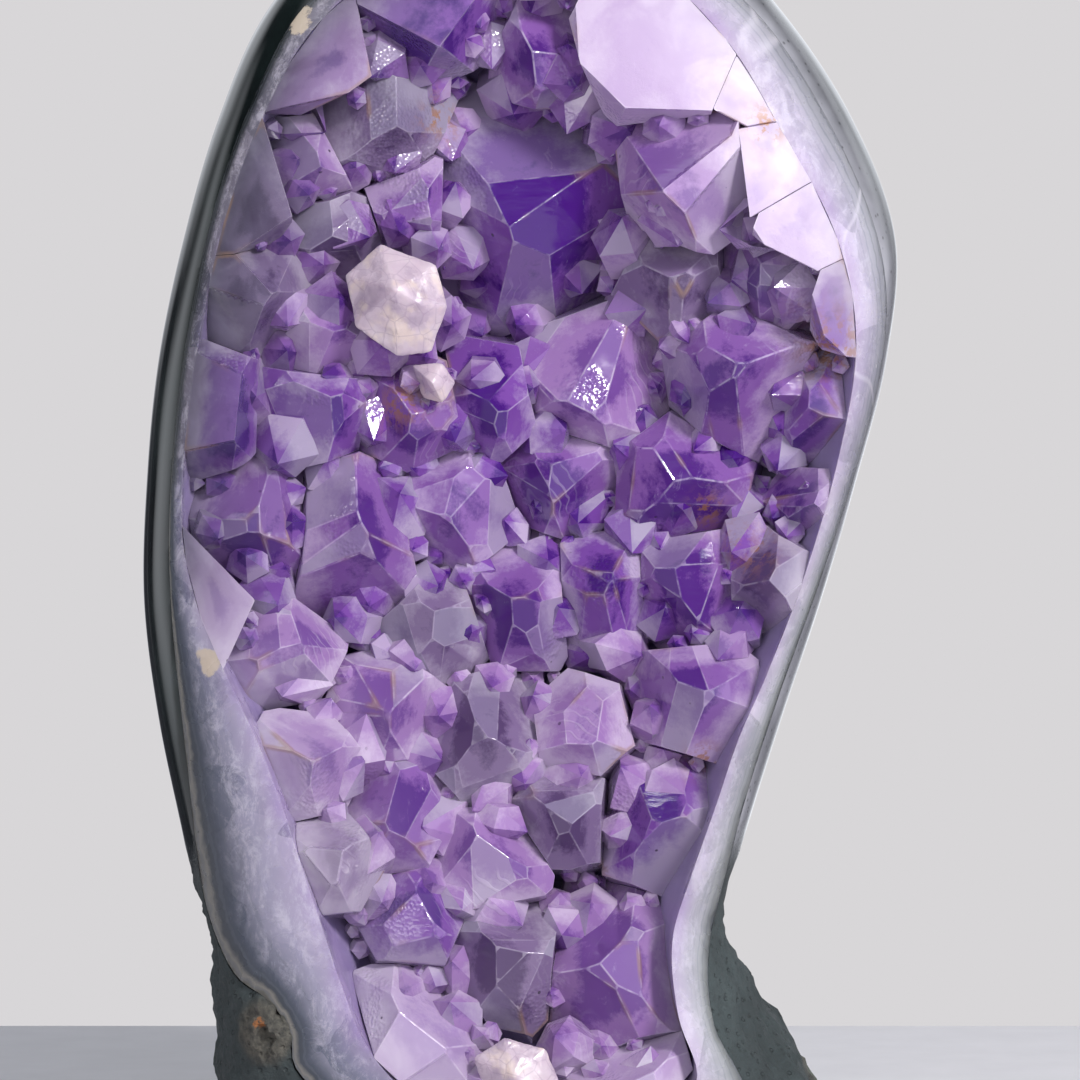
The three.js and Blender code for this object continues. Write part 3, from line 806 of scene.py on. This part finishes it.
def cut_extra_facets(bm, along, size, rng):
    """Truncates a crystal's corners with a few small flats, leaving the polished cut alone."""
    for _ in range(EXTRA_FACETS):
        lean = rng.normal(0, 1, 3)
        lean -= along * (lean @ along)
        facing = along + lean / np.linalg.norm(lean) * rng.uniform(0.35, 1.0)
        facing = Vector(facing / np.linalg.norm(facing))
        farthest = max(v.co.dot(facing) for v in bm.verts)
        plane = facing * (farthest - size * rng.uniform(0.03, 0.09))
        removed = [v for v in bm.verts if (v.co - plane).dot(facing) > 0]
        if any(on_face(v, 1.5) for v in removed):
            continue
        result = bmesh.ops.bisect_plane(
            bm, geom=bm.verts[:] + bm.edges[:] + bm.faces[:], dist=0.001, plane_co=plane,
            plane_no=facing, clear_outer=True,
        )  # fmt: skip
        rim = [g for g in result["geom_cut"] if isinstance(g, bmesh.types.BMEdge)]
        bmesh.ops.edgenet_fill(bm, edges=rim)
        bmesh.ops.remove_doubles(bm, verts=bm.verts, dist=0.02)
    bmesh.ops.recalc_face_normals(bm, faces=bm.faces)


def mark_facets(bm, rng):
    """Gives each facet a random number and tells whether the polished face has cut it."""
    number = bm.faces.layers.float.new("facet")
    cut = bm.faces.layers.int.new("cut")
    for face in bm.faces:
        face[number] = rng.random()
        face[cut] = face.normal.y < -0.3 and all(on_face(v, 1.4) for v in face.verts)


def polished_vertices(mesh):
    """Which vertices belong to a facet that the polished face has cut."""
    polished = np.zeros(len(mesh.vertices), bool)
    for face, cut in zip(mesh.polygons, mesh.attributes["cut"].data):
        if cut.value:
            polished[list(face.vertices)] = True
    return polished


def growth_direction(x, z):
    """Crystals lean towards the middle of the hollow."""
    lean = LEAN_INWARD / HOLLOW_RADIUS
    along = np.stack([-x * lean, -np.ones_like(x), (HOLLOW_CENTRE[1] - z) * lean * 0.6], axis=-1)
    return along / np.linalg.norm(along, axis=-1, keepdims=True)


def place_attributes(mesh, points):
    """What depends only on where a point lies in the hollow: smoky and milky rims, iron stains."""
    x, z = points[:, 0], points[:, 2]
    to_border = distance_to_curve(points[:, [0, 2]], closed_curve(CRYSTAL_BORDER, 500))
    left = smoothstep(5, -25, x)
    smoke = np.exp(-to_border / (1.5 + 9 * left)) * (0.2 + 0.8 * left) * smoothstep(95, 125, z)
    put_attribute(mesh, "smoke", smoke)
    high = smoothstep(150, 175, z) * smoothstep(0, 40, x)
    low = smoothstep(120, 85, z) * (1 - smoothstep(-20, 20, x))
    milk = np.maximum(np.exp(-to_border / 9) * high, np.exp(-to_border / 8) * low)
    milk = np.maximum(milk, np.exp(-to_border / 2.2) * smoothstep(-5, 15, x) * 0.8)
    put_attribute(mesh, "milk", milk)
    stain = np.zeros(len(points))
    for spot_x, spot_z, radius in STAIN_SPOTS:
        near = np.exp(-(((x - spot_x) ** 2 + (z - spot_z) ** 2) / radius**2))
        stain = np.maximum(stain, near)
    put_attribute(mesh, "stain", stain)


def crystal_attributes(mesh, sharp, outline, along, polished, tint, size):
    points = coordinates(mesh)
    reach = points @ along
    put_attribute(mesh, "edge", distance_to_segments(points, *sharp))
    put_attribute(mesh, "outline", distance_to_segments(points, *outline) / size)
    put_attribute(mesh, "depth", np.clip((reach.max() - reach) / size, 0, 1))
    put_attribute(mesh, "tint", np.full(len(points), tint))
    put_attribute(mesh, "cap", polished)
    place_attributes(mesh, points)


def make_crystal(node, slot, material, rng):
    bm = welded_copy(node)
    merge_polished_cut(bm)
    low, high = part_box(node)
    size = min((high.x - low.x), (high.z - low.z)) / MM
    middle = (low + high) / (2 * MM)
    along = growth_direction(np.array([middle.x]), np.array([middle.z]))[0]
    cut_extra_facets(bm, along, size, rng)
    sharp = sharp_edges(bm, 8)
    segments = edge_ends(sharp)
    outline = edge_ends(outline_edges(sharp, along))
    mark_facets(bm, rng)
    shown = low.y / MM + SHOWN_DEPTH
    front = [e for e in sharp if e.calc_length() > 0.8 and max(v.co.y for v in e.verts) < shown]
    bmesh.ops.bevel(
        bm, geom=front, offset=EDGE_ROUNDING, segments=1, profile=0.5, clamp_overlap=True,
        affect="EDGES",
    )  # fmt: skip
    bmesh.ops.dissolve_degenerate(bm, dist=0.01, edges=bm.edges)
    subdivide_shown(bm, shown)
    mesh = bpy.data.meshes.new(node)
    bmesh.ops.scale(bm, vec=(MM,) * 3, verts=bm.verts)
    bm.to_mesh(mesh)
    bm.free()
    points, normals = coordinates(mesh), vertex_normals(mesh)
    seed = rng.uniform(0, 50)
    points += normals * (SEAM_FILL + FACET_WAVES * fractal(points, 4.5, 2, seed))[:, None]
    surface = face_y(points[:, 0], points[:, 2])
    polished = polished_vertices(mesh)
    points[:, 1] = np.where(polished, surface, np.maximum(points[:, 1], surface))
    set_coordinates(mesh, points)
    crystal_attributes(mesh, segments, outline, along, polished, rng.random(), size)
    mark_sharp_edges(mesh, 7)
    mesh.materials.append(material)
    made = bpy.data.objects.new(node.replace("amethyst_crystal", "amethyst_point"), mesh)
    bpy.context.scene.collection.objects.link(made)
    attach(made, "root")
    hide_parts(node)
    return made


def make_crystals():
    rng = np.random.default_rng(7)
    materials = {name: amethyst_material(name) for name in AMETHYST}
    slots = {row["node"]: row["material_slot"] for row in frame["record"]["subparts"]}
    nodes = sorted(name for name in slots if name.startswith("amethyst_crystal"))
    points = [make_crystal(name, slots[name], materials[slots[name]], rng) for name in nodes]
    return points, materials


# ---- Small crystals between the large ones ------------------------------------------------------

# Tries, smallest and largest width, and how far the crystals must lie below their surroundings.
DRUSE_SIZES = [(5000, 8.5, 14.0, 2.6), (3500, 5.0, 8.5, 2.3), (2500, 3.0, 4.5, 1.6)]
DRUSE_GROUPS = [("druse_crown", 150, 252), ("druse_middle", 100, 150), ("druse_foot", 0, 100)]


def small_facets(rng, width):
    """The facets of one small six-sided crystal that points along +z, its tip at z = 0."""
    radius = width / 2
    turn = rng.uniform(0, math.tau)
    angles = turn + np.arange(6) * math.tau / 6
    spread = radius * (1 + rng.uniform(-0.18, 0.18, 6))
    shoulder = -width * (0.5 + rng.uniform(-0.12, 0.12, 6))
    low = np.stack([spread * np.cos(angles), spread * np.sin(angles), np.full(6, -1.1 * width)], 1)
    high = low.copy()
    high[:, 2] = shoulder
    tip = np.array([*rng.uniform(-0.2, 0.2, 2) * width, 0.0])
    for i in range(6):
        j = (i + 1) % 6
        yield np.array([low[i], low[j], high[j], high[i]])
        yield np.array([high[i], high[j], tip])


def valleys(surface, rng):
    """Places where the crystals leave room: the tip, the growth direction and the width."""
    found = []
    border = closed_curve(CRYSTAL_BORDER, 500)
    ring = [(math.cos(a), math.sin(a)) for a in np.arange(8) * math.tau / 8]

    def depth_at(x, z):
        hit = surface.ray_cast(Vector((x, -80.0, z)), Vector((0, 1, 0)))
        return None if hit[0] is None else hit[0].y

    for tries, smallest, largest, least in DRUSE_SIZES:
        for _ in range(tries):
            x, z = rng.uniform(-68, 70), rng.uniform(12, 240)
            if not inside_curve(x, z, border):
                continue
            width = rng.uniform(smallest, largest)
            reach = width * 0.65
            if distance_to_curve(np.array([[x, z]]), border)[0] < width * 0.6 + 1:
                continue
            y = depth_at(x, z)
            around = [depth_at(x + reach * cx, z + reach * cz) for cx, cz in ring]
            if y is None or None in around:
                continue
            level = 0.35 * min(around) + 0.65 * sum(around) / len(around)
            if y - level < least or level - float(face_y(x, z)) < 0.3 * width:
                continue
            tip = np.array([x, level, z])
            if any(np.linalg.norm(tip - other) < (width + w) * 0.38 for other, _, w in found):
                continue
            along = growth_direction(np.array([x]), np.array([z]))[0] + rng.normal(0, 0.28, 3)
            found.append((tip, along / np.linalg.norm(along), width))
    return found


def inside_curve(x, z, curve):
    ahead = np.roll(curve, -1, axis=0)
    crosses = (curve[:, 1] > z) != (ahead[:, 1] > z)
    with np.errstate(divide="ignore", invalid="ignore"):
        at = curve[:, 0] + (z - curve[:, 1]) / (ahead[:, 1] - curve[:, 1]) * (
            ahead[:, 0] - curve[:, 0]
        )
    return bool((crosses & (at > x)).sum() % 2)


def make_druse(objects, materials):
    """Fills the valleys with small crystals, in one piece per height range."""
    rng = np.random.default_rng(23)
    surface = joined_surface(objects)
    places = valleys(surface, rng)
    kinds = ("amethyst_violet", "amethyst_deep", "amethyst_lilac")
    for (name, low, high), kind in zip(DRUSE_GROUPS, kinds):
        vertices, faces, facet_numbers = [], [], []
        values = {key: [] for key in ("edge", "depth", "outline", "tint", "cap")}
        for point, along, width in places:
            if not low <= point[2] < high:
                continue
            turn = np.array(Vector((0, 0, 1)).rotation_difference(Vector(along)).to_matrix())
            tint = rng.random()
            for corners in small_facets(rng, width):
                placed = point + corners @ turn.T
                if (placed[:, 1] < face_y(placed[:, 0], placed[:, 2]) + 0.3).any():
                    continue
                faces.append(tuple(range(len(vertices), len(vertices) + len(corners))))
                vertices.extend(placed)
                facet_numbers.append(rng.random())
                values["edge"].extend([1.0] * len(corners))
                values["cap"].extend([0.0] * len(corners))
                values["depth"].extend(np.clip(-corners[:, 2] / width, 0, 1))
                values["outline"].extend(0.5 - np.hypot(corners[:, 0], corners[:, 1]) / width)
                values["tint"].extend([tint] * len(corners))
        made = object_from(name, vertices, faces)
        for key, numbers in values.items():
            put_attribute(made.data, key, numbers)
        put_attribute(made.data, "facet", facet_numbers, "FACE")
        place_attributes(made.data, np.array(vertices))
        made.data.materials.append(materials[kind])
        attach(made, "root")


def joined_surface(objects):
    """A search tree over the surfaces of several objects, in millimetres."""
    vertices, faces = [], []
    for one in objects:
        first = len(vertices)
        vertices.extend(map(tuple, coordinates(one.data)))
        faces.extend([first + i for i in face.vertices] for face in one.data.polygons)
    return BVHTree.FromPolygons(vertices, faces)


# ---- Calcite ------------------------------------------------------------------------------------


def make_calcite(node, material, seed):
    bm = welded_copy(node)
    bmesh.ops.bevel(
        bm, geom=bm.edges[:], offset=0.5, segments=2, profile=0.6, clamp_overlap=True,
        affect="EDGES",
    )  # fmt: skip
    bmesh.ops.triangulate(bm, faces=bm.faces)
    for _ in range(5):
        edges = [e for e in bm.edges if e.calc_length() > 0.7]
        bmesh.ops.subdivide_edges(bm, edges=edges, cuts=1)
        bmesh.ops.triangulate(bm, faces=[f for f in bm.faces if len(f.verts) > 3])
    mesh = bpy.data.meshes.new(node)
    bmesh.ops.scale(bm, vec=(MM,) * 3, verts=bm.verts)
    bm.to_mesh(mesh)
    bm.free()
    points, normals = coordinates(mesh), vertex_normals(mesh)
    steps = np.round(fractal(points, 5.5, 2, seed) * 3) / 3
    lift = 0.22 * steps + 0.1 * fractal(points, 2.0, 3, seed + 1)
    set_coordinates(mesh, points + normals * lift[:, None])
    mark_sharp_edges(mesh, 30)
    mesh.materials.append(material)
    made = bpy.data.objects.new(node.replace("calcite", "white_calcite"), mesh)
    bpy.context.scene.collection.objects.link(made)
    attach(made, "root")
    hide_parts(node)
    return made


# ---- Stage --------------------------------------------------------------------------------------

TABLE_HALF_WIDTH = 1.2  # metres
TABLE_BACK = 0.2
TABLE_FRONT = -1.6
TABLE_THICKNESS = 0.03


def make_floor():
    """A plain pale table slab with a soft front, back and side edge."""
    material = Nodes("table")
    speckle = material.noise(60, 3)
    material.set(
        Base_Color=material.ramp(speckle, [(0.3, "d9d7dc"), (0.7, "dfdde2")]), Roughness=0.55
    )
    bm = bmesh.new()
    bmesh.ops.create_cube(bm, size=1)
    for vertex in bm.verts:
        vertex.co.x = math.copysign(TABLE_HALF_WIDTH, vertex.co.x)
        vertex.co.y = TABLE_BACK if vertex.co.y > 0 else TABLE_FRONT
        vertex.co.z = 0.0 if vertex.co.z > 0 else -TABLE_THICKNESS
    bmesh.ops.bevel(bm, geom=bm.edges[:], offset=0.004, segments=3, affect="EDGES")
    mesh = bpy.data.meshes.new("table_top")
    bm.to_mesh(mesh)
    bm.free()
    mesh.materials.append(material.material)
    floor = bpy.data.objects.new("table_top", mesh)
    bpy.context.scene.collection.objects.link(floor)


def make_light(name, place, target, size, power, color=(1, 1, 1)):
    data = bpy.data.lights.new(name, "AREA")
    data.shape = "RECTANGLE"
    data.size, data.size_y = size
    data.energy = power
    data.color = color
    light = bpy.data.objects.new(name, data)
    light.location = place
    aim = Vector(target) - Vector(place)
    light.rotation_mode = "QUATERNION"
    light.rotation_quaternion = aim.to_track_quat("-Z", "Y")
    bpy.context.scene.collection.objects.link(light)


def make_world():
    """A plain pale wall for the camera, and a studio of light and dark panels for reflections."""
    world = bpy.data.worlds.new("studio")
    bpy.context.scene.world = world
    world.use_nodes = True
    tree = world.node_tree
    wall = tree.nodes["Background"]
    wall.inputs["Color"].default_value = hex_color("d8d6d8")
    room = tree.nodes.new("ShaderNodeBackground")
    place = tree.nodes.new("ShaderNodeTexCoord").outputs["Generated"]
    panels = tree.nodes.new("ShaderNodeTexNoise")
    panels.inputs["Scale"].default_value = 1.6
    panels.inputs["Detail"].default_value = 1.0
    tree.links.new(place, panels.inputs["Vector"])
    contrast = tree.nodes.new("ShaderNodeValToRGB")
    contrast.color_ramp.elements[0].position = 0.42
    contrast.color_ramp.elements[0].color = (0.04, 0.04, 0.05, 1)
    contrast.color_ramp.elements[1].position = 0.62
    contrast.color_ramp.elements[1].color = (1.35, 1.4, 1.5, 1)
    tree.links.new(panels.outputs["Fac"], contrast.inputs["Fac"])
    tree.links.new(contrast.outputs["Color"], room.inputs["Color"])
    rays = tree.nodes.new("ShaderNodeLightPath")
    brighter = tree.nodes.new("ShaderNodeMath")
    brighter.operation = "MULTIPLY_ADD"
    brighter.inputs[1].default_value = 0.45
    brighter.inputs[2].default_value = 0.7
    tree.links.new(rays.outputs["Is Glossy Ray"], brighter.inputs[0])
    tree.links.new(brighter.outputs["Value"], room.inputs["Strength"])
    choose = tree.nodes.new("ShaderNodeMixShader")
    tree.links.new(rays.outputs["Is Camera Ray"], choose.inputs["Fac"])
    tree.links.new(room.outputs["Background"], choose.inputs[1])
    tree.links.new(wall.outputs["Background"], choose.inputs[2])
    tree.links.new(choose.outputs["Shader"], tree.nodes["World Output"].inputs["Surface"])


def make_studio():
    make_world()
    middle = (0, 0, 0.13)
    make_light("key", (0.8, -1.1, 0.9), middle, (0.3, 0.3), 23, (1.0, 0.98, 0.96))
    make_light("front", (-0.3, -1.5, 0.3), middle, (0.7, 0.5), 5)
    make_light("spark", (-0.5, -1.0, 0.8), middle, (0.05, 0.05), 1.5)


def make_camera():
    """Level with the middle of the stone and close, so that crown and foot leave the picture."""
    camera = bpy.data.objects.new("camera", bpy.data.cameras.new("camera"))
    camera.location = (0.006, -1.0, 0.142)
    target = Vector((0.004, -0.04, 0.1225))
    camera.rotation_mode = "QUATERNION"
    camera.rotation_quaternion = (target - camera.location).to_track_quat("-Z", "Y")
    camera.data.sensor_width = 36
    camera.data.lens = 165
    camera.data.clip_start = 0.01
    bpy.context.scene.collection.objects.link(camera)
    bpy.context.scene.camera = camera


# ---- Build --------------------------------------------------------------------------------------

make_camera()
make_floor()
make_studio()
bpy.context.scene.view_settings.view_transform = "Standard"

agate = make_rock_and_agate()
crystals, amethyst = make_crystals()
calcite = calcite_material()
calcites = [
    make_calcite(node, calcite, seed + 11)
    for seed, node in enumerate(("calcite_crystal", "calcite_spur", "calcite_lump"))
]
make_druse([agate, *crystals, *calcites], amethyst)
